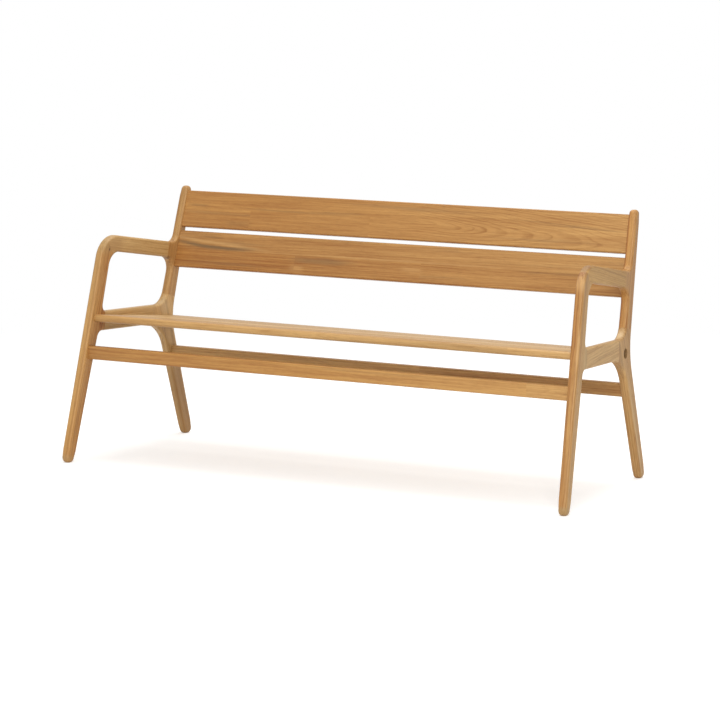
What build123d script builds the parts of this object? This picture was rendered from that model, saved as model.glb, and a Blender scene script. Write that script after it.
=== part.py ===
from build123d import *
from math import cos, hypot, radians, sin, tan
import os

# Garden bench in solid wood. X runs along the seat, the front looks to -Y and Z is up.
# The origin lies on the floor, midway between the four feet. Millimetres and degrees.

# Stance of the two side frames
frame_half_width = 801.0  # centre plane to the outer face, over the frame's middle
splay_height = 420.0  # height at which that half width holds
splay_angle = 1.525  # each frame leans inwards going up
toe_angle = 3.75  # each frame opens towards the front
stance_depth = 609.65  # between the middles of the front and the rear feet
stance_middle = -0.13  # sets the bench's overall depth about the origin
frame_thickness = 26.0
edge_radius = 7.0  # rounding along the edges of the frames
end_edge_radius = 10.5  # the same at the feet and the post tops
end_margin = 2.0  # from the rounding of a foot or post top to the start of the taper
end_taper = 20.0  # run over which the edges pass from one rounding to the other

# Front leg, widths taken level
front_foot_width = 37.5
front_lean_angle = 15.0
front_rail_width = 52.0
front_arm_width = 48.2

# Armrest, height taken over the frame's middle
arm_height = 652.5
arm_slope_angle = 9.4
arm_depth = 49.3

# Rear leg and back post, widths taken level
rear_foot_width = 41.0
knee_setback = 100.3  # back of the knee ahead of the rear foot
knee_height = 383.9
knee_leg_width = 56.7
knee_post_width = 49.7
post_lean_angle = 14.05
post_height = 786.5
post_top_width = 29.0

# Side rail, height taken over the frame's middle
rail_height = 434.5
rail_slope_angle = 2.5
rail_depth = 58.0

# Roundings of the frame's outline
foot_radius = 17.5
foot_trim = 0.8  # worn off each foot to stand level
arm_corner_radius = 77.0
arm_inner_radius = 46.0
post_arm_top_radius = 30.0
post_arm_under_radius = 40.0
post_top_radius = 13.0
knee_radius = 190.0
rail_front_top_radius = 19.0
rail_front_under_radius = 24.0
rail_rear_top_radius = 54.0
rail_rear_under_radius = 118.0

# Joints within a frame
post_horn = 42.0  # arm joint ahead of the post
front_horn = 14.0  # rail joint behind the front leg
rear_horn = 53.0  # rail joint ahead of the post
post_joint_height = 458.0  # post on the rear leg
joint_reach = 12.0  # how far a joint's cut runs past the wood
blind_wall = 8.0  # wood left beyond dowels and tenons set into a frame
frame_dowel_diameter = 8.0
frame_dowel_length = 32.0
mitre_dowel_spacing = 18.0
arm_dowel_spacing = 24.0
post_dowel_spacing = 19.0
rail_dowel_spacing = 30.0

# Back boards
board_width = 114.5
board_gap = 12.5
board_thickness = 20.0
board_setback = 7.0  # behind the front of the posts
board_drop = 11.0  # below the top of the posts
board_radius = 4.0
board_dowel_spacing = 64.0

# Stretchers
stretcher_height = 39.5
stretcher_thickness = 22.0
stretcher_radius = 4.0
front_stretcher_z = 324.0
rear_stretcher_z = 271.5
tenon_height = 26.0
tenon_thickness = 11.0
tenon_radius = 3.5

# Seat boards
seat_front_setback = 110.05  # front edge behind the middle of the front feet
seat_rear_setback = 3.7  # rear edge ahead of the back of the knees
seat_front_height = 436.8
seat_slope_angle = 6.85
seat_board_count = 3
seat_board_gap = 6.0
seat_thickness = 22.0
seat_nose_radius = 10.0
seat_edge_radius = 3.5
seat_dowel_inset = 16.0  # from the edges of a board

# Dowels from the boards into the frames
peg_diameter = 8.0
peg_in_board = 22.0

# Cross ties housed under the seat
tie_spacing = 540.0
tie_width = 42.0
tie_thickness = 10.0
tie_inset = 9.5
tie_margin = 34.0  # short of the seat's front and rear edge
tie_screw_diameter = 4.0
tie_screw_length = 16.0
tie_screw_head = 8.0
tie_screw_spacing = 60.0

# Bolts that draw the rear legs to the seat's rear board
bolt_inset = 33.8  # ahead of the seat's rear edge
bolt_below_seat = 8.5  # bolt axis under the seat's top
bolt_diameter = 6.0
bolt_in_board = 48.0
bolt_head_width = 10.0
bolt_head_height = 4.0
counterbore_diameter = 29.5
counterbore_floor = 14.0  # wood under the washer
washer_diameter = 18.0
washer_thickness = 1.6
barrel_diameter = 10.0
barrel_length = 10.0
barrel_from_end = 36.0

# Clearances
dowel_clearance = 0.1
dowel_end_clearance = 1.0
butt_clearance = 0.1
tenon_clearance = 0.15
tie_clearance = 0.2
bolt_clearance = 0.3
thread_clearance = 0.05


def lean_line(y, z, lean):
    return (y, z), (y + sin(radians(lean)), z + cos(radians(lean)))


def slope_line(y, z, slope):
    return (y, z), (y + cos(radians(slope)), z - sin(radians(slope)))


def crossing(first, second):
    (ay, az), (by, bz) = first
    (cy, cz), (dy, dz) = second
    turn = (by - ay) * (dz - cz) - (bz - az) * (dy - cy)
    share = ((cy - ay) * (dz - cz) - (cz - az) * (dy - cy)) / turn
    return (ay + share * (by - ay), az + share * (bz - az))


def shifted(point, direction, distance):
    return (point[0] + direction[0] * distance, point[1] + direction[1] * distance)


def direction_of(start, end):
    length = hypot(end[0] - start[0], end[1] - start[1])
    return ((end[0] - start[0]) / length, (end[1] - start[1]) / length)


def middle_of(first, second):
    return ((first[0] + second[0]) / 2, (first[1] + second[1]) / 2)


def on_both_sides(shape):
    return shape + mirror(shape, about=Plane.YZ)


def mirrored_group(shapes):
    return Compound(shapes + [mirror(shape, about=Plane.YZ) for shape in shapes])


# Places of the feet and the knee, seen from the side
front_foot_y = stance_middle - stance_depth / 2
rear_foot_y = stance_middle + stance_depth / 2
knee_y = rear_foot_y - knee_setback

# Depths that follow from the frames' thickness
blind_depth = frame_thickness - blind_wall - dowel_end_clearance
counterbore_depth = frame_thickness - counterbore_floor

# Lines of the side frame, seen from the side
sole = slope_line(0, -foot_trim, 0)
front_face = lean_line(front_foot_y - front_foot_width / 2, 0, front_lean_angle)
arm_top = slope_line(0, arm_height, arm_slope_angle)
arm_under = slope_line(0, arm_height - arm_depth / cos(radians(arm_slope_angle)), arm_slope_angle)
rail_top = slope_line(0, rail_height, rail_slope_angle)
rail_under = slope_line(0, rail_height - rail_depth / cos(radians(rail_slope_angle)), rail_slope_angle)
rail_level = slope_line(0, rail_height - rail_depth / 2, 0)
under_arm_level = slope_line(0, arm_height - arm_depth, 0)
leg_waist = shifted(crossing(front_face, rail_level), (1, 0), front_rail_width)
leg_shoulder = shifted(crossing(front_face, under_arm_level), (1, 0), front_arm_width)
front_leg_low = ((front_foot_y + front_foot_width / 2, 0), leg_waist)
front_leg_high = (leg_waist, leg_shoulder)
knee = (knee_y, knee_height)
rear_leg_rear = ((rear_foot_y + rear_foot_width / 2, 0), knee)
rear_leg_front = ((rear_foot_y - rear_foot_width / 2, 0), (knee_y - knee_leg_width, knee_height))
post_rear = lean_line(knee_y, knee_height, post_lean_angle)
post_top = slope_line(0, post_height, 0)
post_top_rear = crossing(post_rear, post_top)
post_top_front = (post_top_rear[0] - post_top_width, post_height)
post_front = ((knee_y - knee_post_width, knee_height), post_top_front)

# Corners where those lines meet
arm_corner = crossing(front_face, arm_top)
arm_inner_corner = crossing(front_leg_high, arm_under)
post_arm_corner = crossing(arm_top, post_front)
rail_front_corner = crossing(front_leg_high, rail_top)
rail_rear_corner = crossing(post_front, rail_top)

# Directions along and square to the sloping members
arm_along = direction_of(*arm_top)
arm_up = (-arm_along[1], arm_along[0])
rail_along = direction_of(*rail_top)
rail_up = (-rail_along[1], rail_along[0])
post_along = direction_of(*post_front)
post_back = (post_along[1], -post_along[0])


def rounded_face(corners):
    face = make_face(Polyline(*[point for point, radius in corners], close=True))
    for point, radius in corners:
        face = fillet(face.vertices().sort_by_distance((*point, 0))[0], radius)
    return face


# Roundings, limited by the widths they are cut into
front_foot_round = min(foot_radius, 0.45 * front_foot_width)
rear_foot_round = min(foot_radius, 0.45 * rear_foot_width)
post_top_round = min(post_top_radius, 0.45 * post_top_width)
edge_round = min(edge_radius, 0.45 * frame_thickness)
end_edge_round = min(end_edge_radius, 0.46 * frame_thickness,
                     0.92 * min(front_foot_round, rear_foot_round, post_top_round))


def frame_face():
    outline = rounded_face([
        (crossing(front_face, sole), front_foot_round),
        (arm_corner, arm_corner_radius),
        (post_arm_corner, post_arm_top_radius),
        (post_top_front, post_top_round),
        (post_top_rear, post_top_round),
        (knee, knee_radius),
        (crossing(rear_leg_rear, sole), rear_foot_round),
        (crossing(rear_leg_front, sole), rear_foot_round),
        (crossing(rear_leg_front, rail_under), rail_rear_under_radius),
        (crossing(front_leg_low, rail_under), rail_front_under_radius),
        (crossing(front_leg_low, sole), front_foot_round),
    ])
    opening = rounded_face([
        (rail_front_corner, rail_front_top_radius),
        (arm_inner_corner, arm_inner_radius),
        (crossing(arm_under, post_front), post_arm_under_radius),
        (rail_rear_corner, rail_rear_top_radius),
    ])
    return outline - opening


def through_frame(points):
    return extrude(Plane.YZ * make_face(Polyline(*points, close=True)), frame_thickness, both=True)


def square_joint(top_point, up, depth):
    return shifted(top_point, up, joint_reach), shifted(top_point, up, -depth - joint_reach)


def joint_lines():
    mitre_way = direction_of(arm_inner_corner, arm_corner)
    mitre = (shifted(arm_corner, mitre_way, joint_reach),
             shifted(arm_inner_corner, mitre_way, -joint_reach - arm_inner_radius))
    arm_rear = square_joint(shifted(post_arm_corner, arm_along, -post_horn), arm_up, arm_depth)
    rail_front = square_joint(shifted(rail_front_corner, rail_along, front_horn), rail_up, rail_depth)
    rail_rear = square_joint(shifted(rail_rear_corner, rail_along, -rear_horn), rail_up, rail_depth)
    post_point = crossing(post_front, slope_line(0, post_joint_height, 0))
    post_foot = (shifted(post_point, post_back, -joint_reach),
                 shifted(post_point, post_back, knee_post_width + joint_reach))
    return mitre, arm_rear, rail_front, rail_rear, post_foot


def frame_dowels(face, joint, spacing, grow=0.0, lengthen=0.0):
    width = (Line(*joint) & face).edges().sort_by(Edge.length)[-1]
    way = direction_of(*joint)
    dowels = []
    for side in (-1, 1):
        y, z = shifted((width.center().X, width.center().Y), way, side * spacing / 2)
        seat = Plane((-frame_thickness / 2, y, z), x_dir=(1, 0, 0), z_dir=(0, -way[1], way[0]))
        dowels.append(seat * Cylinder(frame_dowel_diameter / 2 + grow, frame_dowel_length + 2 * lengthen))
    return dowels


# Each free end: its two corners, a point further along the member, and the rounding at the corners
free_ends = (
    (crossing(front_face, sole), crossing(front_leg_low, sole),
     middle_of(crossing(front_face, rail_level), leg_waist), front_foot_round),
    (crossing(rear_leg_front, sole), crossing(rear_leg_rear, sole),
     middle_of(rear_leg_front[1], knee), rear_foot_round),
    (post_top_front, post_top_rear, middle_of(post_front[0], knee), post_top_round),
)


def end_zone(first, last, far, reach):
    middle = middle_of(first, last)
    way = direction_of(middle, far)
    across = (-way[1], way[0])
    width = hypot(last[0] - first[0], last[1] - first[1])
    near, beyond = shifted(middle, way, reach), shifted(middle, way, -width)
    return through_frame([shifted(near, across, -width), shifted(near, across, width),
                          shifted(beyond, across, width), shifted(beyond, across, -width)])


# Free ends have rounder edges, and a tapering stretch leads from those to the edges of the frame
def with_round_ends(whole, rounder):
    for first, last, far, rounding in free_ends:
        cap_zone = end_zone(first, last, far, rounding + end_margin)
        taper_zone = end_zone(first, last, far, rounding + end_margin + end_taper)
        along = Axis((0, *first), (0, *direction_of(middle_of(first, last), far)))
        cap = rounder & cap_zone
        stretch = whole & taper_zone
        taper = loft([cap.faces().sort_by(along)[-1], stretch.faces().sort_by(along)[-1]], ruled=True)
        whole = whole - taper_zone + taper + cap
    return whole


def side_frame():
    face = frame_face()
    blank = extrude(Plane.YZ * face, -frame_thickness)
    edges = blank.faces().filter_by(Axis.X).edges()
    whole = with_round_ends(fillet(edges, edge_round), fillet(edges, end_edge_round))
    mitre, arm_rear, rail_front, rail_rear, post_foot = joint_lines()
    arm_zone = through_frame([mitre[0], arm_rear[0], arm_rear[1], mitre[1]])
    rail_zone = through_frame([rail_front[0], rail_rear[0], rail_rear[1], rail_front[1]])
    post_zone = through_frame([
        post_foot[0],
        post_foot[1],
        shifted(post_foot[1], post_along, post_height),
        shifted(shifted(post_foot[0], post_along, post_height), post_back, -post_horn - joint_reach),
        shifted(post_foot[0], post_back, -post_horn - joint_reach),
    ])
    uprights = (whole - arm_zone - rail_zone).solids().sort_by(Axis.Y)
    pieces = {
        "front_leg": uprights[0],
        "armrest": whole & arm_zone,
        "side_rail": whole & rail_zone,
        "back_post": uprights[-1] & post_zone,
        "rear_leg": uprights[-1] - post_zone,
    }
    joints = {
        "arm_mitre_dowels": (mitre, mitre_dowel_spacing, ("front_leg", "armrest")),
        "arm_post_dowels": (arm_rear, arm_dowel_spacing, ("armrest", "back_post")),
        "rail_front_dowels": (rail_front, rail_dowel_spacing, ("front_leg", "side_rail")),
        "rail_rear_dowels": (rail_rear, rail_dowel_spacing, ("side_rail", "rear_leg")),
        "post_leg_dowels": (post_foot, post_dowel_spacing, ("back_post", "rear_leg")),
    }
    dowels = {}
    for name, (joint, spacing, joined) in joints.items():
        dowels[name] = frame_dowels(face, joint, spacing)
        for hole in frame_dowels(face, joint, spacing, dowel_clearance, dowel_end_clearance):
            for piece in joined:
                pieces[piece] = pieces[piece] - hole
    return pieces, dowels


# Right frame's place on the bench; the left one is its mirror image
right_place = (Pos(frame_half_width, 0, splay_height) * Rot(0, 0, toe_angle) * Rot(0, -splay_angle, 0)
               * Pos(0, 0, -splay_height))


def inner_point(y, z):
    return (right_place * Pos(-frame_thickness, y, z)).position


def face_x(y, z, depth):
    start = (right_place * Pos(-depth, 0, splay_height)).position
    toe_in = (y - start.Y) * tan(radians(toe_angle))
    lean_in = (z - start.Z) * tan(radians(splay_angle)) / cos(radians(toe_angle))
    return start.X - toe_in - lean_in


def between_frames():
    span = 4 * frame_half_width
    half = right_place * Pos(-frame_thickness - butt_clearance - span / 2, 0, post_height / 2)
    half = half * Box(span, 2 * post_height, 2 * post_height)
    return half & mirror(half, about=Plane.YZ)


def peg(y, z, grow=0.0, lengthen=0.0):
    middle = face_x(y, z, frame_thickness) + (blind_depth - peg_in_board) / 2
    length = blind_depth + peg_in_board + 2 * lengthen
    return Pos(middle, y, z) * Rot(0, 90, 0) * Cylinder(peg_diameter / 2 + grow, length)


def peg_hole(y, z):
    return peg(y, z, dowel_clearance, dowel_end_clearance)


# Back boards hang parallel to the front of the posts, from the top down
back_board_names = ("upper_back_board", "lower_back_board")


def board_places():
    top = inner_point(*post_top_front)
    places = []
    for row in range(len(back_board_names)):
        below = board_drop + board_width / 2 + row * (board_width + board_gap)
        middle = shifted((top.Y, top.Z), post_along, -below)
        places.append(shifted(middle, post_back, board_setback + board_thickness / 2))
    return places


def back_board(y, z, space):
    board = Box(2 * frame_half_width, board_thickness, board_width)
    board = fillet(board.edges().filter_by(Axis.X), min(board_radius, 0.45 * board_thickness))
    seat = Plane((0, y, z), x_dir=(1, 0, 0), z_dir=(0, *post_along))
    return seat * board & space


def tenon_solid(y, z, grow, lengthen):
    profile = RectangleRounded(tenon_thickness + 2 * grow, tenon_height + 2 * grow, tenon_radius)
    start = face_x(y, z, frame_thickness) - stretcher_thickness
    return Pos(start, y, z) * extrude(Plane.YZ * profile, stretcher_thickness + blind_depth + lengthen)


def stretcher(y, z, space):
    rail = Box(2 * frame_half_width, stretcher_thickness, stretcher_height)
    rail = fillet(rail.edges().filter_by(Axis.X), min(stretcher_radius, 0.45 * stretcher_thickness))
    rail = Pos(0, y, z) * rail & space
    return rail + tenon_solid(y, z, 0, 0) + mirror(tenon_solid(y, z, 0, 0), about=Plane.YZ)


def mortise(y, z):
    return tenon_solid(y, z, tenon_clearance, dowel_end_clearance)


def leg_middle(front_line, rear_line, z):
    level = slope_line(0, z, 0)
    middle = (crossing(front_line, level)[0] + crossing(rear_line, level)[0]) / 2
    return inner_point(middle, z).Y


# Seat plane: distance back from the front edge and depth below the top
seat_along = (cos(radians(seat_slope_angle)), -sin(radians(seat_slope_angle)))
seat_up = (-seat_along[1], seat_along[0])
seat_front_y = front_foot_y + seat_front_setback
seat_depth = (knee_y - seat_rear_setback - seat_front_y) / seat_along[0]
seat_board_width = (seat_depth + seat_board_gap) / seat_board_count - seat_board_gap


def seat_point(back, below):
    return shifted(shifted((seat_front_y, seat_front_height), seat_along, back), seat_up, -below)


def seat_plane(x, back, below):
    return Plane((x, *seat_point(back, below)), x_dir=(1, 0, 0), z_dir=(0, *seat_up))


def board_start(row):
    return row * (seat_board_width + seat_board_gap)


def seat_board(row, space):
    board = Box(2 * frame_half_width, seat_board_width, seat_thickness)
    front_radius = seat_nose_radius if row == 0 else seat_edge_radius
    for end, radius in ((0, front_radius), (-1, seat_edge_radius)):
        edges = board.edges().filter_by(Axis.X).group_by(Axis.Y)[end]
        board = fillet(edges, min(radius, 0.47 * seat_thickness))
    return seat_plane(0, board_start(row) + seat_board_width / 2, seat_thickness / 2) * board & space


# The rear board carries the bolt in place of its rear dowel
def seat_peg_points():
    points = {}
    for row in range(seat_board_count):
        backs = [board_start(row) + seat_dowel_inset]
        if row < seat_board_count - 1:
            backs.append(board_start(row) + seat_board_width - seat_dowel_inset)
        points[row] = [seat_point(back, seat_thickness / 2) for back in backs]
    return points


def cross_tie(x, grow=0.0):
    length = seat_depth - 2 * tie_margin + 2 * grow
    tie = Box(tie_width + 2 * grow, length, tie_thickness)
    return seat_plane(x, seat_depth / 2, seat_thickness - tie_inset + tie_thickness / 2) * tie


def tie_screw_places(x):
    bottom = seat_thickness - tie_inset + tie_thickness
    places = []
    for row in range(seat_board_count):
        for side in (-1, 1):
            back = board_start(row) + seat_board_width / 2 + side * tie_screw_spacing / 2
            places.append(seat_plane(x, back, bottom))
    return places


def tie_screw(place, grow=0.0):
    radius = tie_screw_diameter / 2 + grow
    from_head = (Align.CENTER, Align.CENTER, Align.MIN)
    shank = Cylinder(radius, tie_screw_length + grow, align=from_head)
    head = Cone(tie_screw_head / 2 + grow, radius, (tie_screw_head - tie_screw_diameter) / 2, align=from_head)
    return place * (shank + head)


# Bolt, washer and barrel nut lie on one line along X
bolt_y, bolt_z = seat_point(seat_depth - bolt_inset, bolt_below_seat)
bolt_seat_x = face_x(bolt_y, bolt_z, counterbore_depth)
board_end_x = face_x(bolt_y, bolt_z, frame_thickness)


def along_x(start, end, radius):
    middle = Pos((start + end) / 2, bolt_y, bolt_z) * Rot(0, 90, 0)
    return middle * Cylinder(radius, end - start)


def bolt():
    under_head = bolt_seat_x + washer_thickness
    shank = along_x(board_end_x - bolt_in_board, under_head, bolt_diameter / 2)
    hexagon = RegularPolygon(bolt_head_width / 2, 6, major_radius=False)
    head = Pos(under_head, bolt_y, bolt_z) * extrude(Plane.YZ * hexagon, bolt_head_height)
    return shank + head


def washer():
    end = bolt_seat_x + washer_thickness
    ring = along_x(bolt_seat_x, end, washer_diameter / 2)
    bore = bolt_diameter / 2 + bolt_clearance
    return ring - along_x(bolt_seat_x - washer_thickness, end + washer_thickness, bore)


def barrel_place():
    return Plane((board_end_x - barrel_from_end, bolt_y, bolt_z), x_dir=(1, 0, 0), z_dir=(0, *seat_up))


def barrel_nut():
    body = barrel_place() * Cylinder(barrel_diameter / 2, barrel_length)
    return body - along_x(board_end_x - bolt_in_board - barrel_diameter, board_end_x,
                          bolt_diameter / 2 + thread_clearance)


def barrel_hole():
    up = barrel_length / 2 + dowel_clearance
    deep = Cylinder(barrel_diameter / 2 + dowel_clearance, up + seat_thickness,
                    align=(Align.CENTER, Align.CENTER, Align.MAX))
    return barrel_place() * Pos(0, 0, up) * deep


def bolt_hole():
    return along_x(board_end_x - bolt_in_board - dowel_end_clearance, bolt_seat_x + counterbore_depth,
                   bolt_diameter / 2 + bolt_clearance)


def counterbore():
    return along_x(bolt_seat_x, bolt_seat_x + 2 * frame_thickness, counterbore_diameter / 2)


def make_nodes():
    space = between_frames()
    places = board_places()
    board_pegs = []
    for y, z in places:
        board_pegs.append([shifted((y, z), post_along, side * board_dowel_spacing / 2) for side in (-1, 1)])
    front_y = leg_middle(front_face, front_leg_low, front_stretcher_z)
    rear_y = leg_middle(rear_leg_front, rear_leg_rear, rear_stretcher_z)
    seat_pegs = seat_peg_points()

    local_pieces, local_dowels = side_frame()
    floor = Pos(0, 0, -post_height / 2) * Box(4 * frame_half_width, 4 * post_height, post_height)
    pieces = {name: right_place * piece - floor for name, piece in local_pieces.items()}
    pieces["front_leg"] -= mortise(front_y, front_stretcher_z)
    pieces["rear_leg"] -= mortise(rear_y, rear_stretcher_z)
    for row in board_pegs:
        for point in row:
            pieces["back_post"] -= peg_hole(*point)
    for row in seat_pegs.values():
        for point in row:
            for name in ("front_leg", "side_rail", "rear_leg"):
                pieces[name] -= peg_hole(*point)
    pieces["rear_leg"] = pieces["rear_leg"] - bolt_hole() - counterbore()

    nodes = {}
    for name, piece in pieces.items():
        nodes[name + "_right"] = piece
        nodes[name + "_left"] = mirror(piece, about=Plane.YZ)
    for name, dowels in local_dowels.items():
        nodes[name] = mirrored_group([right_place * dowel for dowel in dowels])

    for name, (y, z), row in zip(back_board_names, places, board_pegs):
        board = back_board(y, z, space)
        for point in row:
            board = board - on_both_sides(peg_hole(*point))
        nodes[name] = board
    nodes["back_board_dowels"] = mirrored_group([peg(*point) for row in board_pegs for point in row])

    nodes["front_stretcher"] = stretcher(front_y, front_stretcher_z, space)
    nodes["rear_stretcher"] = stretcher(rear_y, rear_stretcher_z, space)

    tie_places = {"seat_tie_left": -tie_spacing / 2, "seat_tie_right": tie_spacing / 2}
    screw_places = [place for x in tie_places.values() for place in tie_screw_places(x)]
    for row in range(seat_board_count):
        board = seat_board(row, space)
        for x in tie_places.values():
            board = board - cross_tie(x, tie_clearance)
        for place in screw_places:
            board = board - tie_screw(place, thread_clearance)
        for point in seat_pegs[row]:
            board = board - on_both_sides(peg_hole(*point))
        if row == seat_board_count - 1:
            board = board - on_both_sides(bolt_hole()) - on_both_sides(barrel_hole())
        nodes["seat_board_" + str(row + 1)] = board
    nodes["seat_dowels"] = mirrored_group([peg(*point) for row in seat_pegs.values() for point in row])
    for name, x in tie_places.items():
        tie = cross_tie(x)
        for place in screw_places:
            tie = tie - tie_screw(place, thread_clearance)
        nodes[name] = tie
    nodes["seat_tie_screws"] = Compound([tie_screw(place) for place in screw_places])

    nodes["seat_bolts"] = on_both_sides(bolt())
    nodes["seat_bolt_washers"] = on_both_sides(washer())
    nodes["seat_barrel_nuts"] = on_both_sides(barrel_nut())
    return nodes


os.makedirs("parts", exist_ok=True)
for node_name, solid in make_nodes().items():
    export_step(solid, os.path.join("parts", node_name + ".step"))
    print(node_name, len(solid.solids()), round(solid.volume))
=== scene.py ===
import math
import bpy
from mathutils import Matrix, Vector


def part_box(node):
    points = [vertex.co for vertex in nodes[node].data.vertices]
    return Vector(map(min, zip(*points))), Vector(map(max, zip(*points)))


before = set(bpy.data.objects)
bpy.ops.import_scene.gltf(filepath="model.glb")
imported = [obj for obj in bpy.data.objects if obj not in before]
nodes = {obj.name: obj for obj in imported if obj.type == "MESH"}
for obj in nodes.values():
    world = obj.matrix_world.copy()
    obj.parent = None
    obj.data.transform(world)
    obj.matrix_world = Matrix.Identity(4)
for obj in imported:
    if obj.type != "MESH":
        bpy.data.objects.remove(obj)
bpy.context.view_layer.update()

print("bench loaded,", len(nodes), "pieces")


# a colour as a paint card gives it, 0 to 255, turned to the linear values that shaders take
def paint(red, green, blue):
    def line(level):
        level = level / 255
        return level / 12.92 if level <= 0.04045 else ((level + 0.055) / 1.055) ** 2.4
    return (line(red), line(green), line(blue), 1.0)


# one shader node with its values; the keys are socket names or numbers
def put(tree, kind, values=None, **traits):
    node = tree.nodes.new("ShaderNode" + kind)
    for name, value in traits.items():
        setattr(node, name, value)
    for socket, value in (values or {}).items():
        if isinstance(value, bpy.types.NodeSocket):
            tree.links.new(value, node.inputs[socket])
        else:
            node.inputs[socket].default_value = value
    return node


def sums(tree, operation, *terms, clamp=False):
    return put(tree, "Math", dict(enumerate(terms)), operation=operation, use_clamp=clamp).outputs[0]


def vectors(tree, operation, *terms):
    return put(tree, "VectorMath", dict(enumerate(terms)), operation=operation).outputs[0]


# a number taken from vectors: a length or a dot product
def measured(tree, operation, *terms):
    return put(tree, "VectorMath", dict(enumerate(terms)), operation=operation).outputs["Value"]


def joined(tree, x, y, z):
    return put(tree, "CombineXYZ", {0: x, 1: y, 2: z}).outputs[0]


def parted(tree, vector):
    return put(tree, "SeparateXYZ", {0: vector}).outputs


def objectPlace(tree):
    return put(tree, "TexCoord").outputs["Object"]


# value from low to high, eased to outLow and outHigh
def eased(tree, value, low, high, outLow=0.0, outHigh=1.0):
    values = {"Value": value, "From Min": low, "From Max": high, "To Min": outLow, "To Max": outHigh}
    return put(tree, "MapRange", values, interpolation_type="SMOOTHSTEP").outputs[0]


def blended(tree, amount, first, second):
    return put(tree, "Mix", {0: amount, 6: first, 7: second}, data_type="RGBA").outputs[2]


def newGroup(name, inputs, outputs):
    group = bpy.data.node_groups.new(name, "ShaderNodeTree")
    kinds = {"f": "NodeSocketFloat", "v": "NodeSocketVector", "c": "NodeSocketColor"}
    for label, kind, value in inputs:
        socket = group.interface.new_socket(label, in_out="INPUT", socket_type=kinds[kind])
        socket.default_value = value
    for label, kind in outputs:
        group.interface.new_socket(label, in_out="OUTPUT", socket_type=kinds[kind])
    return group, group.nodes.new("NodeGroupInput").outputs, group.nodes.new("NodeGroupOutput").inputs


# noise drawn out along the grain: cycles per metre along, across and through the wood, and its detail
grainLayers = {
    "sway": ((2.4, 9.0, 9.0), 2.0),  # slow sway of the rings
    "ripple": ((11.0, 40.0, 40.0), 2.0),  # finer ripple of the rings
    "streak": ((1.1, 75.0, 75.0), 3.0),  # broad streaks
    "fine": ((6.0, 240.0, 240.0), 3.0),  # fine streaks
    "dash": ((42.0, 280.0, 280.0), 2.0),  # short dashes
    "fibre": ((24.0, 700.0, 700.0), 2.0),
    "patch": ((2.2, 14.0, 14.0), 2.0),  # slow patches
    "mineral": ((1.6, 45.0, 45.0), 2.0),  # greyish streaks
    "pore": ((38.0, 1500.0, 1500.0), 1.0),  # open pores, short dark dashes
    "fray": ((14.0, 160.0, 160.0), 2.0),  # ragged sides of a mark
}
layerRoughness = 0.55
noiseMiddle = 0.5
acrossOnly = (0, 1, 1)  # drops the share of a vector along X


def grainNoise(tree, place, layer):
    stretch, detail = grainLayers[layer]
    values = {"Vector": vectors(tree, "MULTIPLY", place, stretch), "Scale": 1.0, "Detail": detail,
              "Roughness": layerRoughness}
    return put(tree, "TexNoise", values).outputs


# a shift across the grain by noise, reach metres from side to side
def swing(tree, place, layer, reach):
    noise = vectors(tree, "SUBTRACT", grainNoise(tree, place, layer)["Color"], (noiseMiddle,) * 3)
    return vectors(tree, "MULTIPLY", noise, (0, reach, reach))


# pairs of colours are pale and dark wood; other pairs are where a change begins and ends
teak = {
    "amber": (paint(192, 141, 75), paint(136, 80, 28)), "straw": (paint(203, 169, 115), paint(154, 112, 56)),
    "mineralTint": paint(134, 104, 66), "poreTint": paint(100, 62, 30),
    "seedSteps": (7.31, 3.17, 11.93),  # metres from one seed's wood to the next
    "swayReach": 0.024, "rippleReach": 0.006,
    "sinkLoss": -0.55,  # share of the pith's sinking that is lost after To
    "unevenPace": 90.0, "unevenShare": 1.3,  # changes of ring width per metre, and their size in rings
    "late": (0.5, 0.88),  # dark late wood, in shares of a ring
    "luckSpan": 0.6, "luckLeast": 0.4,  # how dark each ring's late wood is
    "fade": (-0.2, 0.15),  # metres from Fade
    "veins": {"streak": 1.1, "fine": 1.1, "dash": 0.35, "fibre": 0.5, "patch": 0.45},
    "darkness": 0.28, "mineral": (0.55, 0.75), "pore": (0.6, 0.72), "poreShare": 0.35,
    "rough": 0.42, "fibreRough": 0.16, "poreRough": 0.1, "fibreHeight": 0.6,
}


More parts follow.
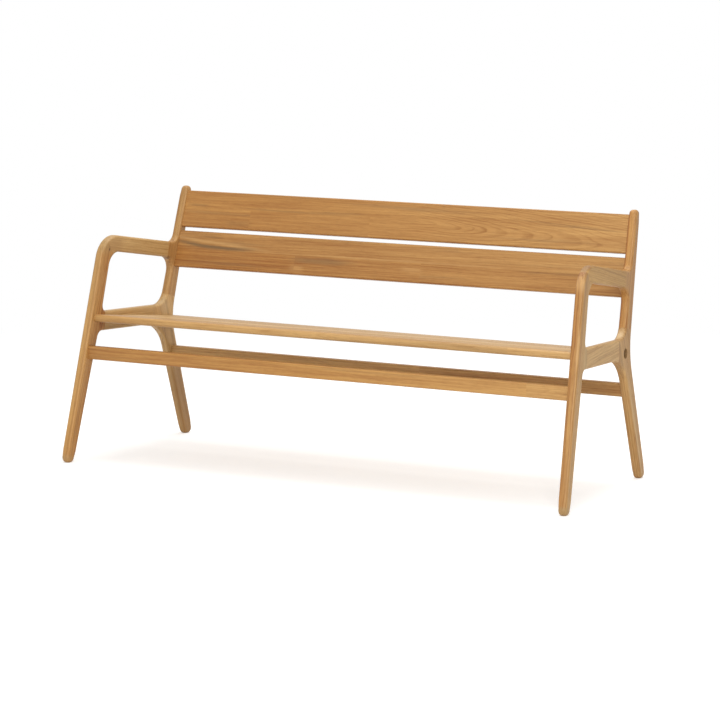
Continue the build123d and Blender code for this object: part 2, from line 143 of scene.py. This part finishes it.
# solid teak: growth rings about a pith line that passes near the piece, with streaks, fibres and pores
# Vector is in metres, X along the grain, Y across the face and Z through the thickness
# the pith leaves the grain's line by Drift per metre after From, and sinks more slowly after To
# dark lines begin at Fade; the tone changes by Lean per metre and the straw share by StrawLean
def makeTeakGroup():
    tree, given, out = newGroup("teakGrain", [
        ("Vector", "v", (0, 0, 0)), ("Seed", "f", 0.0), ("Pith", "v", (0, 0.1, -0.06)),
        ("Drift", "v", (0, 0.01, 0.02)), ("From", "f", -9.0), ("To", "f", 9.0), ("Ring", "f", 0.007),
        ("Lines", "f", 0.3), ("Fade", "f", -9.0), ("Streaks", "f", 1.0), ("Tone", "f", 0.0),
        ("Lean", "v", (0, 0, 0)), ("Straw", "f", 0.0), ("StrawLean", "v", (0, 0, 0)), ("Grey", "f", 0.35),
    ], [("Color", "c"), ("Roughness", "f"), ("Height", "f")])
    seed = given["Seed"]
    place = given["Vector"]
    along = parted(tree, place)[0]
    seedShift = joined(tree, *[sums(tree, "MULTIPLY", seed, step) for step in teak["seedSteps"]])
    seeded = vectors(tree, "ADD", place, seedShift)
    # the pith's line, and how far the swayed and rippled wood lies from it
    sideRun = sums(tree, "MAXIMUM", along, given["From"])
    beyond = sums(tree, "MAXIMUM", sums(tree, "SUBTRACT", along, given["To"]), 0.0)
    sinkRun = sums(tree, "MULTIPLY_ADD", beyond, teak["sinkLoss"], sideRun)
    core = vectors(tree, "MULTIPLY", given["Drift"], joined(tree, 0.0, sideRun, sinkRun))
    core = vectors(tree, "ADD", given["Pith"], core)
    moved = vectors(tree, "ADD", place, swing(tree, seeded, "sway", teak["swayReach"]))
    moved = vectors(tree, "ADD", moved, swing(tree, seeded, "ripple", teak["rippleReach"]))
    offPith = vectors(tree, "MULTIPLY", vectors(tree, "SUBTRACT", moved, core), acrossOnly)
    reach = measured(tree, "LENGTH", offPith)
    # ring number and place within the ring
    pace = sums(tree, "MULTIPLY_ADD", reach, teak["unevenPace"], seed)
    uneven = put(tree, "TexNoise", {"W": pace, "Scale": 1.0, "Detail": 1.0}, noise_dimensions="1D").outputs[0]
    phase = sums(tree, "DIVIDE", reach, given["Ring"])
    phase = sums(tree, "MULTIPLY_ADD", uneven, teak["unevenShare"], phase)
    ringNumber = sums(tree, "ADD", sums(tree, "FLOOR", phase), seed)
    ringLuck = put(tree, "TexWhiteNoise", {"W": ringNumber}, noise_dimensions="1D").outputs[0]
    inRing = sums(tree, "FRACT", phase)
    # the dark line of late wood in each ring
    lateFrom, lateTo = teak["late"]
    late = eased(tree, inRing, lateFrom, lateTo)
    late = sums(tree, "MULTIPLY", late, eased(tree, inRing, lateTo, 1.0, 1.0, 0.0))
    lineLuck = sums(tree, "MULTIPLY_ADD", ringLuck, teak["luckSpan"], teak["luckLeast"])
    late = sums(tree, "MULTIPLY", late, lineLuck)
    pastFade = sums(tree, "SUBTRACT", along, given["Fade"])
    late = sums(tree, "MULTIPLY", late, eased(tree, pastFade, *teak["fade"]))
    # streaks, dashes, fibres and patches
    layers = {name: grainNoise(tree, seeded, name)[0] for name in teak["veins"]}
    veins = 0.0
    for name, weight in teak["veins"].items():
        veins = sums(tree, "MULTIPLY_ADD", sums(tree, "SUBTRACT", layers[name], noiseMiddle), weight, veins)
    dark = sums(tree, "MULTIPLY_ADD", veins, given["Streaks"], sums(tree, "MULTIPLY", late, given["Lines"]))
    tone = sums(tree, "ADD", given["Tone"], measured(tree, "DOT_PRODUCT", place, given["Lean"]))
    dark = sums(tree, "ADD", sums(tree, "ADD", dark, tone), teak["darkness"], clamp=True)
    strawer = measured(tree, "DOT_PRODUCT", place, given["StrawLean"])
    strawShare = sums(tree, "ADD", given["Straw"], strawer, clamp=True)
    wood = blended(tree, strawShare, blended(tree, dark, *teak["amber"]), blended(tree, dark, *teak["straw"]))
    mineral = eased(tree, grainNoise(tree, seeded, "mineral")[0], *teak["mineral"])
    wood = blended(tree, sums(tree, "MULTIPLY", mineral, given["Grey"]), wood, teak["mineralTint"])
    pore = eased(tree, grainNoise(tree, seeded, "pore")[0], *teak["pore"])
    wood = blended(tree, sums(tree, "MULTIPLY", pore, teak["poreShare"]), wood, teak["poreTint"])
    tree.links.new(wood, out["Color"])
    # fibres stand up a little, pores are sunk, and both are rougher
    rough = sums(tree, "MULTIPLY_ADD", layers["fibre"], teak["fibreRough"], teak["rough"])
    tree.links.new(sums(tree, "MULTIPLY_ADD", pore, teak["poreRough"], rough), out["Roughness"])
    raised = sums(tree, "MULTIPLY", layers["fibre"], teak["fibreHeight"])
    tree.links.new(sums(tree, "SUBTRACT", raised, pore), out["Height"])
    return tree


# how far a stave's pith may lie to the side, in metres, the tone that is neither pale nor dark,
# and how a stave's two values change its seed
staveSpread = {"sideSpan": 0.5, "sideLeast": -0.25, "evenTone": 0.5, "sideSeed": 17.0, "toneSeed": 5.0}


# boards glued up from staves: two rows that meet at Split, each row a strip of colours along the board
# red is the stave's darkness, green how far its pith lies to the side, blue how straw-coloured it is
def makeStaveGroup():
    tree, given, out = newGroup("gluedStaves", [
        ("Vector", "v", (0, 0, 0)), ("Split", "f", 0.0), ("Upper", "c", (0.5, 0.5, 0.5, 1)),
        ("Lower", "c", (0.5, 0.5, 0.5, 1)), ("Depth", "f", -0.05), ("Seed", "f", 0.0),
    ], [("Pith", "v"), ("Tone", "f"), ("Straw", "f"), ("Seed", "f")])
    isUpper = sums(tree, "GREATER_THAN", parted(tree, given["Vector"])[1], given["Split"])
    stave = put(tree, "SeparateColor", {0: blended(tree, isUpper, given["Lower"], given["Upper"])}).outputs
    side = sums(tree, "MULTIPLY_ADD", stave[1], staveSpread["sideSpan"], staveSpread["sideLeast"])
    tree.links.new(joined(tree, 0.0, side, given["Depth"]), out["Pith"])
    tree.links.new(sums(tree, "SUBTRACT", stave[0], staveSpread["evenTone"]), out["Tone"])
    tree.links.new(stave[2], out["Straw"])
    luck = sums(tree, "MULTIPLY_ADD", stave[1], staveSpread["sideSeed"], given["Seed"])
    tree.links.new(sums(tree, "MULTIPLY_ADD", stave[0], staveSpread["toneSeed"], luck), out["Seed"])
    return tree


# how much the sides fray, and where a mark fades, in shares of its width and of its length
markEdge = {"fraySpan": 2.4, "frayLeast": -0.2, "sides": (0.1, 1.1), "ends": (0.3, 1.0)}
brownVein = (112, 82, 48)


# a mark in the wood: strongest on a bent line through Centre, frayed at the sides and fading at the ends
# Length is half its run, Width half its breadth and Depth half its reach through the wood,
# all in the grain's own axes
def makeMarkGroup():
    tree, given, out = newGroup("grainMark", [
        ("Vector", "v", (0, 0, 0)), ("Centre", "v", (0, 0, 0)), ("Length", "f", 0.1), ("Width", "f", 0.006),
        ("Depth", "f", 9.0), ("Slope", "f", 0.0), ("Bend", "f", 0.0), ("Color", "c", (1, 1, 1, 1)),
        ("Mark", "c", paint(*brownVein)), ("Strength", "f", 0.5),
    ], [("Color", "c")])
    offset = parted(tree, vectors(tree, "SUBTRACT", given["Vector"], given["Centre"]))
    run = offset[0]
    line = sums(tree, "MULTIPLY", sums(tree, "MULTIPLY_ADD", run, given["Bend"], given["Slope"]), run)
    frayed = grainNoise(tree, given["Vector"], "fray")[0]
    frayed = sums(tree, "MULTIPLY_ADD", frayed, markEdge["fraySpan"], markEdge["frayLeast"])
    breadth = sums(tree, "MULTIPLY", given["Width"], frayed)
    aside = sums(tree, "DIVIDE", sums(tree, "SUBTRACT", offset[1], line), breadth)
    inward = sums(tree, "DIVIDE", offset[2], given["Depth"])
    away = measured(tree, "LENGTH", joined(tree, aside, inward, 0.0))
    endward = sums(tree, "ABSOLUTE", sums(tree, "DIVIDE", run, given["Length"]))
    body = eased(tree, away, *markEdge["sides"], 1.0, 0.0)
    ends = eased(tree, endward, *markEdge["ends"], 1.0, 0.0)
    amount = sums(tree, "MULTIPLY", sums(tree, "MULTIPLY", body, ends), given["Strength"])
    tree.links.new(blended(tree, amount, given["Color"], given["Mark"]), out["Color"])
    return tree


# tint of the bore's inside: its end grain together with painted shade of the hole
boreLook = {"tint": paint(142, 112, 78), "share": 0.8, "edge": (0.98, 1.02)}  # edge in shares of Radius


# the wall and floor of a bored hole: end grain, darkened further with painted shade of the hole
# Centre is on the bore's line, which runs along X, Radius a little more than the bore's,
# and Floor how far out it ends
def makeBoreGroup():
    tree, given, out = newGroup("boredHole", [
        ("Vector", "v", (0, 0, 0)), ("Centre", "v", (0, 0, 0)), ("Radius", "f", 0.015), ("Floor", "f", 0.0),
        ("Color", "c", (1, 1, 1, 1)),
    ], [("Color", "c")])
    outward = sums(tree, "ABSOLUTE", parted(tree, given["Vector"])[0])
    offset = vectors(tree, "SUBTRACT", given["Vector"], given["Centre"])
    away = measured(tree, "LENGTH", vectors(tree, "MULTIPLY", offset, acrossOnly))
    away = sums(tree, "DIVIDE", away, given["Radius"])
    inside = eased(tree, away, *boreLook["edge"], boreLook["share"], 0.0)
    inside = sums(tree, "MULTIPLY", inside, sums(tree, "GREATER_THAN", outward, given["Floor"]))
    tree.links.new(blended(tree, inside, given["Color"], boreLook["tint"]), out["Color"])
    return tree


teakGrain = makeTeakGroup()
gluedStaves = makeStaveGroup()
grainMark = makeMarkGroup()
boredHole = makeBoreGroup()
print("teak grain ready")


# three axes as columns: along the grain, across the face, through the thickness
def grainTurn(along, through):
    along = Vector(along).normalized()
    through = Vector(through)
    through = (through - along * through.dot(along)).normalized()
    return Matrix((along, through.cross(along), through)).transposed()


def grainPlace(tree, turn, centre):
    values = {"Vector": objectPlace(tree), "Location": centre, "Rotation": turn.to_euler()}
    return put(tree, "Mapping", values, vector_type="TEXTURE").outputs[0]


def dress(nodeName, material):
    piece = nodes[nodeName]
    piece.data.materials.clear()
    piece.data.materials.append(material)


def newMaterial(name):
    material = bpy.data.materials.new(name)
    material.use_nodes = True
    material.node_tree.nodes.clear()
    return material, material.node_tree


def fillGroup(tree, group, values):
    return put(tree, "Group", values, node_tree=group).outputs


woodFinish = {"relief": 0.25, "reliefDepth": 0.0004, "ior": 1.45}


def finishWood(tree, grain, color):
    relief = put(tree, "Bump", {
        "Strength": woodFinish["relief"], "Distance": woodFinish["reliefDepth"], "Height": grain["Height"]})
    skin = put(tree, "BsdfPrincipled", {
        "Base Color": color, "Roughness": grain["Roughness"], "IOR": woodFinish["ior"],
        "Normal": relief.outputs[0]})
    put(tree, "OutputMaterial", {0: skin.outputs[0]})


# one mark's values; centre, half length and half width are in metres
def mark(centre, length, width, color=brownVein, strength=0.5, depth=9.0, slope=0.0, bend=0.0):
    return {"Centre": centre, "Length": length, "Width": width, "Mark": paint(*color), "Strength": strength,
            "Depth": depth, "Slope": slope, "Bend": bend}


def marked(tree, where, color, marks):
    for values in marks:
        color = fillGroup(tree, grainMark, {"Vector": where, "Color": color, **values})["Color"]
    return color


# wood cut from one piece
def solidWood(nodeName, along, through, look, marks=(), bore=None):
    material, tree = newMaterial(nodeName + "_teak")
    low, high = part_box(nodeName)
    where = grainPlace(tree, grainTurn(along, through), (low + high) / 2)
    grain = fillGroup(tree, teakGrain, {"Vector": where, **look})
    color = marked(tree, where, grain["Color"], marks)
    if bore:
        color = fillGroup(tree, boredHole, {"Vector": objectPlace(tree), "Color": color, **bore})["Color"]
    finishWood(tree, grain, color)
    dress(nodeName, material)


rowLength = 1.7  # metres, the longest board's or a little more


# a row of staves as steps of a colour ramp along the board
def staveRow(tree, along, staves):
    ramp = put(tree, "ValToRGB", {0: sums(tree, "MULTIPLY_ADD", along, 1 / rowLength, 0.5)})
    steps = ramp.color_ramp
    steps.interpolation = "CONSTANT"
    for number, (start, tone, side, straw) in enumerate(staves):
        share = max(0.0, start / rowLength + 0.5)
        step = steps.elements[number] if number < 2 else steps.elements.new(share)
        step.position = share
        step.color = (tone, side, straw, 1)
    if len(staves) == 1:
        steps.elements.remove(steps.elements[1])
    return ramp.outputs[0]


# wood glued up from staves, in one row where no lower row is given
# it gets paler and more straw-coloured along the board by the two values of wash
def gluedWood(nodeName, facing, board):
    material, tree = newMaterial(nodeName + "_teak")
    low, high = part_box(nodeName)
    where = grainPlace(tree, grainTurn((1, 0, 0), facing), (low + high) / 2)
    along = parted(tree, where)[0]
    upper = staveRow(tree, along, board["upper"])
    lower = staveRow(tree, along, board["lower"]) if "lower" in board else upper
    stave = fillGroup(tree, gluedStaves, {
        "Vector": where, "Split": board.get("split", 0.0), "Depth": board["depth"], "Seed": board["seed"],
        "Upper": upper, "Lower": lower})
    paler, strawer = board["wash"]
    grain = fillGroup(tree, teakGrain, {
        "Vector": where, "Pith": stave["Pith"], "Seed": stave["Seed"],
        "Tone": sums(tree, "MULTIPLY_ADD", along, -paler, stave["Tone"]),
        "Straw": sums(tree, "MULTIPLY_ADD", along, strawer, stave["Straw"], clamp=True), **board["grain"]})
    finishWood(tree, grain, marked(tree, where, grain["Color"], board.get("marks", ())))
    dress(nodeName, material)


# each side frame toes out to the front and leans in going up, in degrees
frameStance = {"toe": 3.75, "splay": 1.525}


def frameTurn(side):
    turn = Matrix.Rotation(math.radians(frameStance["toe"]), 3, "Z")
    turn = turn @ Matrix.Rotation(math.radians(-frameStance["splay"]), 3, "Y")
    return Matrix.Diagonal((side, 1, 1)) @ turn


# lean is the grain's, in the frame's own plane, in degrees from upright towards the back
frameMembers = {
    "front_leg_left": {
        "lean": 15.0,
        "look": {"Seed": 1.0, "Pith": (0, 0.03, -0.05), "Tone": -0.09, "Lean": (0.15, 3, -17),
                 "Straw": 0.18, "StrawLean": (0.4, -4, 3)},
        "marks": [mark((0.335, -0.006, 0), 0.05, 0.03, (156, 132, 90)),  # greyer top
                  mark((-0.334, -0.022, 0), 0.022, 0.04, (168, 136, 90)),  # greyer foot
                  mark((0.3132, 0.0077, 0), 0.006, 0.004, (72, 48, 28), 0.85)]},  # pin knot
    "front_leg_right": {
        "lean": 15.0,
        "look": {"Seed": 2.0, "Pith": (0, -0.04, 0.06), "Tone": 0.12, "Lean": (0.35, 5, -4), "Lines": 0.4,
                 "Straw": 0.45, "StrawLean": (-0.3, -10, 18)},
        "marks": [mark((0.315, 0.024, 0), 0.05, 0.012, (218, 178, 122), 0.4),  # pale band near the top
                  mark((0.12, 0.0235, 0.0105), 0.07, 0.006, (218, 178, 122), 0.4, depth=0.005),  # painted highlight along the front outer edge
                  mark((-0.334, 0.022, 0), 0.022, 0.04, (166, 138, 94), 0.6)]},  # greyer foot
    "armrest_left": {
        "lean": 99.4,
        "look": {"Seed": 3.0, "Pith": (0, 0.06, -0.04), "Tone": 0.06, "Lean": (0.5, 0, 0), "Straw": 0.92},
        "marks": [mark((-0.125, 0, 0), 0.06, 0.04, (140, 100, 62), 0.35)]},  # browner front end
    "armrest_right": {
        "lean": 103.0,
        "look": {"Seed": 4.0, "Pith": (0, 0.11, 0.0), "Tone": 0.01, "Lean": (0.6, 0, 0), "Lines": 1.0,
                 "Streaks": 1.4, "Straw": 0.42},
        "marks": [mark((-0.02, 0.026, 0), 0.4, 0.006, (140, 96, 50), slope=0.063),  # painted shade along the top edge
                  mark((0, 0, 0), 0.6, 0.2, (180, 141, 70), 0.4),  # golden wash over the whole arm
                  mark((-0.1436, 0.012, 0), 0.05, 0.006, (134, 94, 46), 0.75, slope=0.6, bend=-6.5),  # curl
                  mark((-0.1395, 0.0115, 0.0106), 0.014, 0.005, (128, 84, 48), 0.7, depth=0.006)]},  # its eye
    "back_post_left": {
        "lean": 15.7,
        "look": {"Seed": 5.0, "Pith": (0, 0.05, -0.07), "Tone": 0.21, "Straw": 0.5},
        "marks": [mark((-0.0584, -0.0425, 0), 0.008, 0.008, (84, 60, 36))]},  # small knot
    "back_post_right": {
        "lean": 15.7,
        "look": {"Seed": 6.0, "Pith": (0, 0.05, 0.07), "Tone": 0.04, "Lean": (0, -1, 14),
                 "Straw": 0.06, "StrawLean": (0, 4, 12)},
        # brown inner face
        "marks": [mark((0.1, 0.01, -0.0125), 0.6, 0.02, (140, 82, 34), 0.85, depth=0.009)]},
    "rear_leg_left": {
        "lean": -18.7,
        "look": {"Seed": 7.0, "Pith": (0, 0.08, -0.05), "Tone": -0.05, "Straw": 0.75, "Lines": 0.45},
        "marks": [mark((0.2145, 0.008, -0.006), 0.065, 0.03, (198, 174, 134), 0.45, depth=0.016),  # painted light from above on the top
                  mark((-0.16, 0, -0.013), 0.26, 0.08, (128, 84, 36), 0.6, depth=0.03)]},  # painted shade of the seat on the inner side
    "rear_leg_right": {
        "lean": -18.7,
        "look": {"Seed": 8.0, "Pith": (0, 0.07, 0.06), "Tone": 0.2, "Straw": 0.6, "Lines": 0.45},
        "marks": [mark((-0.08, 0.0, 0), 0.22, 0.009, (212, 178, 124), slope=0.03),  # pale band
                  mark((-0.1, 0.017, 0), 0.2, 0.006, (140, 96, 50)),  # brown vein beside it
                  mark((0.215, -0.012, 0), 0.065, 0.03, (232, 204, 158), 0.6, depth=0.016)]},  # painted light from above on the top
    "side_rail_left": {
        "lean": 92.5,
        "look": {"Seed": 9.0, "Pith": (0, 0.09, -0.05), "Tone": 0.07, "Straw": 0.92}},
    "side_rail_right": {
        "lean": 86.5,
        "look": {"Seed": 10.0, "Pith": (0, -0.12, 0.0), "Ring": 0.008, "Tone": -0.06, "Straw": 0.75,
                 "Lines": 0.35}},
}
boltLow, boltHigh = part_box("seat_bolts")
boreFloorInset = 0.0022  # from the washer's outermost point in to the bore's floor
boltBore = {"Centre": (boltLow + boltHigh) / 2, "Radius": 0.01495,
            "Floor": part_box("seat_bolt_washers")[1].x - boreFloorInset}

for memberName, member in frameMembers.items():
    turn = frameTurn(-1 if memberName.endswith("left") else 1)
    lean = math.radians(member["lean"])
    along = turn @ Vector((0, math.sin(lean), math.cos(lean)))
    through = turn @ Vector((1, 0, 0))
    bore = boltBore if memberName.startswith("rear_leg") else None
    solidWood(memberName, along, through, member["look"], member.get("marks", ()), bore)
print("side frames finished")


# staves are start along the board, darkness, side of the pith, straw share
paleSap = (214, 172, 112)
backFacing = (0, -0.9587, 0.2845)
backBoards = {
    "upper_back_board": {
        "split": 0.004, "depth": 0.016, "seed": 21.0, "wash": (0.1, 0.22),
        "grain": {"Drift": (0, -0.057, -0.1), "From": 0.075, "To": 0.47, "Ring": 0.0057, "Lines": 0.45,
                  "Fade": 0.05, "Streaks": 0.8},
        "upper": [(-0.85, 0.55, 0.503, 0.12)],
        "lower": [(-0.85, 0.59, 0.1, 0.12), (-0.513, 0.57, 0.9, 0.12), (-0.098, 0.55, 0.503, 0.12)],
        "marks": [mark((-0.36, 0.007, 0), 0.24, 0.004, strength=0.35, slope=-0.012),  # veins in the left half
                  mark((-0.55, -0.038, 0), 0.06, 0.012, strength=0.25),
                  mark((-0.7, 0.012, 0), 0.05, 0.006, strength=0.35),
                  mark((-0.2, 0.011, 0), 0.12, 0.005, strength=0.3, slope=0.01),
                  mark((0.62, 0.008, 0), 0.17, 0.003, slope=-0.041),  # two slanting veins near the right end
                  mark((0.53, 0.016, 0), 0.2, 0.0025, strength=0.35, slope=-0.05)]},
    "lower_back_board": {
        "split": 0.001, "depth": -0.05, "seed": 22.0, "wash": (0.1, 0.12),
        "grain": {"Drift": (0, 0.02, -0.02), "Lines": 0.25, "Streaks": 0.8},
        "upper": [(-0.85, 0.62, 0.1, 0.22)],
        "lower": [(-0.85, 0.7, 0.15, 0.0), (-0.338, 0.69, 0.8, 0.12), (0.094, 0.7, 0.2, 0.14)],
        # the first three are a dark streak in the left half, pale wood above it and a short vein
        "marks": [mark((-0.62, 0.0235, 0), 0.24, 0.007, paleSap, 0.35, slope=-0.088),
                  mark((-0.63, 0.0105, 0), 0.2, 0.0075, (104, 82, 52), 0.75, slope=-0.06, bend=0.35),
                  mark((-0.63, 0.04, 0), 0.05, 0.003, slope=-0.02),
                  mark((-0.24, -0.012, 0), 0.14, 0.012, (118, 92, 60)),  # dark stave end
                  mark((-0.325, -0.0386, 0), 0.035, 0.012, paleSap, 0.2),
                  mark((0.0, 0.004, 0), 0.5, 0.004, paleSap, 0.25),  # pale line along the glued joint
                  mark((0.07, -0.02, 0), 0.05, 0.012, paleSap, 0.2),
                  mark((0.53, -0.004, 0), 0.14, 0.006, strength=0.35)]},
}
for boardName, board in backBoards.items():
    gluedWood(boardName, backFacing, board)
print("back boards finished")

stretcherFacing = (0, -1, 0)
stretchers = {
    "front_stretcher": {
        "depth": -0.05, "seed": 23.0, "wash": (0.28, 0.25),
        "grain": {"Drift": (0, 0.01, -0.03), "Lines": 0.25},
        "upper": [(-0.85, 0.56, 0.1, 0.03), (0.66, 0.54, 0.5, 0.12)]},
    "rear_stretcher": {
        "depth": -0.05, "seed": 24.0, "wash": (-0.25, 0.0),
        "grain": {"Drift": (0, 0.02, -0.02), "Lines": 0.25},
        "upper": [(-0.85, 0.56, 0.2, 0.5), (0.1, 0.6, 0.8, 0.45)]},
}
for stretcherName, board in stretchers.items():
    gluedWood(stretcherName, stretcherFacing, board)
print("stretchers finished")

seatFacing = (0, 0.1193, 0.9929)
seatBoards = {
    "seat_board_1": {
        "split": -0.035, "depth": -0.04, "seed": 25.0, "wash": (0.0, 0.15),
        "grain": {"Drift": (0, 0.02, -0.02), "Lines": 0.25},
        "upper": [(-0.85, 0.72, 0.15, 0.85), (0.1, 0.66, 0.9, 0.85)],
        "lower": [(-0.85, 0.44, 0.85, 0.5), (0.586, 0.38, 0.2, 0.45)]},
    "seat_board_2": {
        "split": 0.01, "depth": -0.04, "seed": 26.0, "wash": (0.1, 0.0),
        "grain": {"Drift": (0, 0.01, -0.02), "Lines": 0.25},
        "upper": [(-0.85, 0.66, 0.2, 0.95), (0.3, 0.7, 0.8, 0.95)], "lower": [(-0.85, 0.44, 0.9, 0.95)]},
    "seat_board_3": {
        "split": 0.0, "depth": -0.04, "seed": 27.0, "wash": (0.0, 0.0),
        "grain": {"Drift": (0, 0.01, -0.04), "Lines": 0.25},
        "upper": [(-0.85, 0.64, 0.8, 0.9), (-0.1, 0.66, 0.1, 0.9)], "lower": [(-0.85, 0.62, 0.3, 0.9)]},
}
for boardName, board in seatBoards.items():
    gluedWood(boardName, seatFacing, board)
print("seat finished")

# along is each piece's grain; the ties follow the seat's slope
hiddenWood = {
    "firstSeed": 31.0, "straw": 0.7, "through": (0.3, 0.4, 0.86),
    "along": {
        "seat_tie_left": (0, 0.9929, -0.1193), "seat_tie_right": (0, 0.9929, -0.1193),
        "arm_mitre_dowels": (0, 1, 0), "arm_post_dowels": (0, 1, 0), "post_leg_dowels": (0, 0, 1),
        "rail_front_dowels": (0, 1, 0), "rail_rear_dowels": (0, 1, 0),
        "back_board_dowels": (1, 0, 0), "seat_dowels": (1, 0, 0)},
}
for number, (hiddenName, along) in enumerate(hiddenWood["along"].items()):
    look = {"Seed": hiddenWood["firstSeed"] + number, "Straw": hiddenWood["straw"]}
    solidWood(hiddenName, along, hiddenWood["through"], look)
print("ties and dowels finished")


# pale and deep colour of each fitting; bolts and washers are painted dark brown, painted shade so that they
# stay dark in their holes
steels = {
    "seat_bolts": (paint(104, 84, 64), paint(82, 66, 52)),
    "seat_bolt_washers": (paint(108, 90, 70), paint(86, 70, 56)),
    "seat_barrel_nuts": (paint(178, 176, 170), paint(150, 148, 142)),
    "seat_tie_screws": (paint(178, 176, 170), paint(150, 148, 142)),
}
steelFinish = {"speckles": 900.0, "detail": 2.0, "roughSpan": 0.25, "roughLeast": 0.25}


def makeSteel(name, pale, deep):
    material, tree = newMaterial(name)
    speckle = put(tree, "TexNoise", {"Vector": objectPlace(tree), "Scale": steelFinish["speckles"],
                                     "Detail": steelFinish["detail"]}).outputs[0]
    tint = blended(tree, speckle, pale, deep)
    rough = sums(tree, "MULTIPLY_ADD", speckle, steelFinish["roughSpan"], steelFinish["roughLeast"])
    skin = put(tree, "BsdfPrincipled", {"Base Color": tint, "Roughness": rough, "Metallic": 1.0})
    put(tree, "OutputMaterial", {0: skin.outputs[0]})
    return material


for steelName, (pale, deep) in steels.items():
    dress(steelName, makeSteel(steelName + "_steel", pale, deep))
print("fittings finished")


# rays that show a surface: straight from the camera, in a reflection or through glass
def shownRay(tree):
    path = put(tree, "LightPath").outputs
    mirrored = sums(tree, "MAXIMUM", path["Is Glossy Ray"], path["Is Transmission Ray"])
    return sums(tree, "MAXIMUM", path["Is Camera Ray"], mirrored)


# span is half the floor's width; from the first to the second value of fade, in metres from the bench,
# the floor runs out into the white backdrop
studioFloor = {"color": paint(236, 235, 233), "span": 30.0, "glow": 0.4, "fade": (1.6, 3.2)}


def makeFloor():
    span = studioFloor["span"]
    mesh = bpy.data.meshes.new("floor")
    corners = [(-span, -span, 0), (span, -span, 0), (span, span, 0), (-span, span, 0)]
    mesh.from_pydata(corners, [], [(0, 1, 2, 3)])
    floor = bpy.data.objects.new("floor", mesh)
    bpy.context.scene.collection.objects.link(floor)
    material, tree = newMaterial("floor_pale")
    shown = shownRay(tree)
    plain = put(tree, "BsdfDiffuse", {"Color": studioFloor["color"]}).outputs[0]
    glow = put(tree, "Emission", {"Strength": sums(tree, "MULTIPLY", shown, studioFloor["glow"])}).outputs[0]
    near = put(tree, "AddShader", {0: plain, 1: glow}).outputs[0]
    fade = eased(tree, measured(tree, "LENGTH", objectPlace(tree)), *studioFloor["fade"])
    white = put(tree, "Emission", {"Strength": 1.0}).outputs[0]
    mixed = put(tree, "MixShader", {0: sums(tree, "MULTIPLY", fade, shown), 1: near, 2: white})
    put(tree, "OutputMaterial", {0: mixed.outputs[0]})
    mesh.materials.append(material)


backdropLight = 0.555  # the backdrop lights the bench this much, and shows white


def makeWorld():
    world = bpy.data.worlds.new("studio")
    world.use_nodes = True
    tree = world.node_tree
    tree.nodes.clear()
    strength = sums(tree, "MULTIPLY_ADD", shownRay(tree), 1.0 - backdropLight, backdropLight)
    ground = put(tree, "Background", {"Color": (1, 1, 1, 1), "Strength": strength}).outputs[0]
    put(tree, "OutputWorld", {0: ground})
    bpy.context.scene.world = world


lamps = {
    "key": {"at": (2.6, -5.0, 2.85), "size": 3.0, "watts": 178.0},
    "top": {"at": (0.0, 0.6, 4.2), "size": 3.0, "watts": 98.0},
}
lampAim = Vector((0, 0, 0.4))


def makeLamps():
    for name, settings in lamps.items():
        data = bpy.data.lights.new(name, "AREA")
        data.energy = settings["watts"]
        data.size = settings["size"]
        lamp = bpy.data.objects.new(name, data)
        lamp.location = settings["at"]
        lamp.rotation_euler = (lampAim - Vector(settings["at"])).to_track_quat("-Z", "Y").to_euler()
        bpy.context.scene.collection.objects.link(lamp)


# angles in degrees, lens and sensor in millimetres
camera = {
    "at": (4.228637, -7.66433, 1.678687), "azimuth": 28.798, "elevation": 8.7575,
    "lens": 150.609, "sensor": 36.0, "farthest": 100.0,
}


def makeCamera():
    data = bpy.data.cameras.new("camera")
    data.sensor_width = camera["sensor"]
    data.lens = camera["lens"]
    data.clip_end = camera["farthest"]
    holder = bpy.data.objects.new("camera", data)
    holder.location = camera["at"]
    holder.rotation_euler = (math.radians(90 - camera["elevation"]), 0, math.radians(camera["azimuth"]))
    bpy.context.scene.collection.objects.link(holder)
    bpy.context.scene.camera = holder


makeFloor()
makeWorld()
makeLamps()
makeCamera()
bpy.context.scene.view_settings.view_transform = "Standard"
print("studio ready")
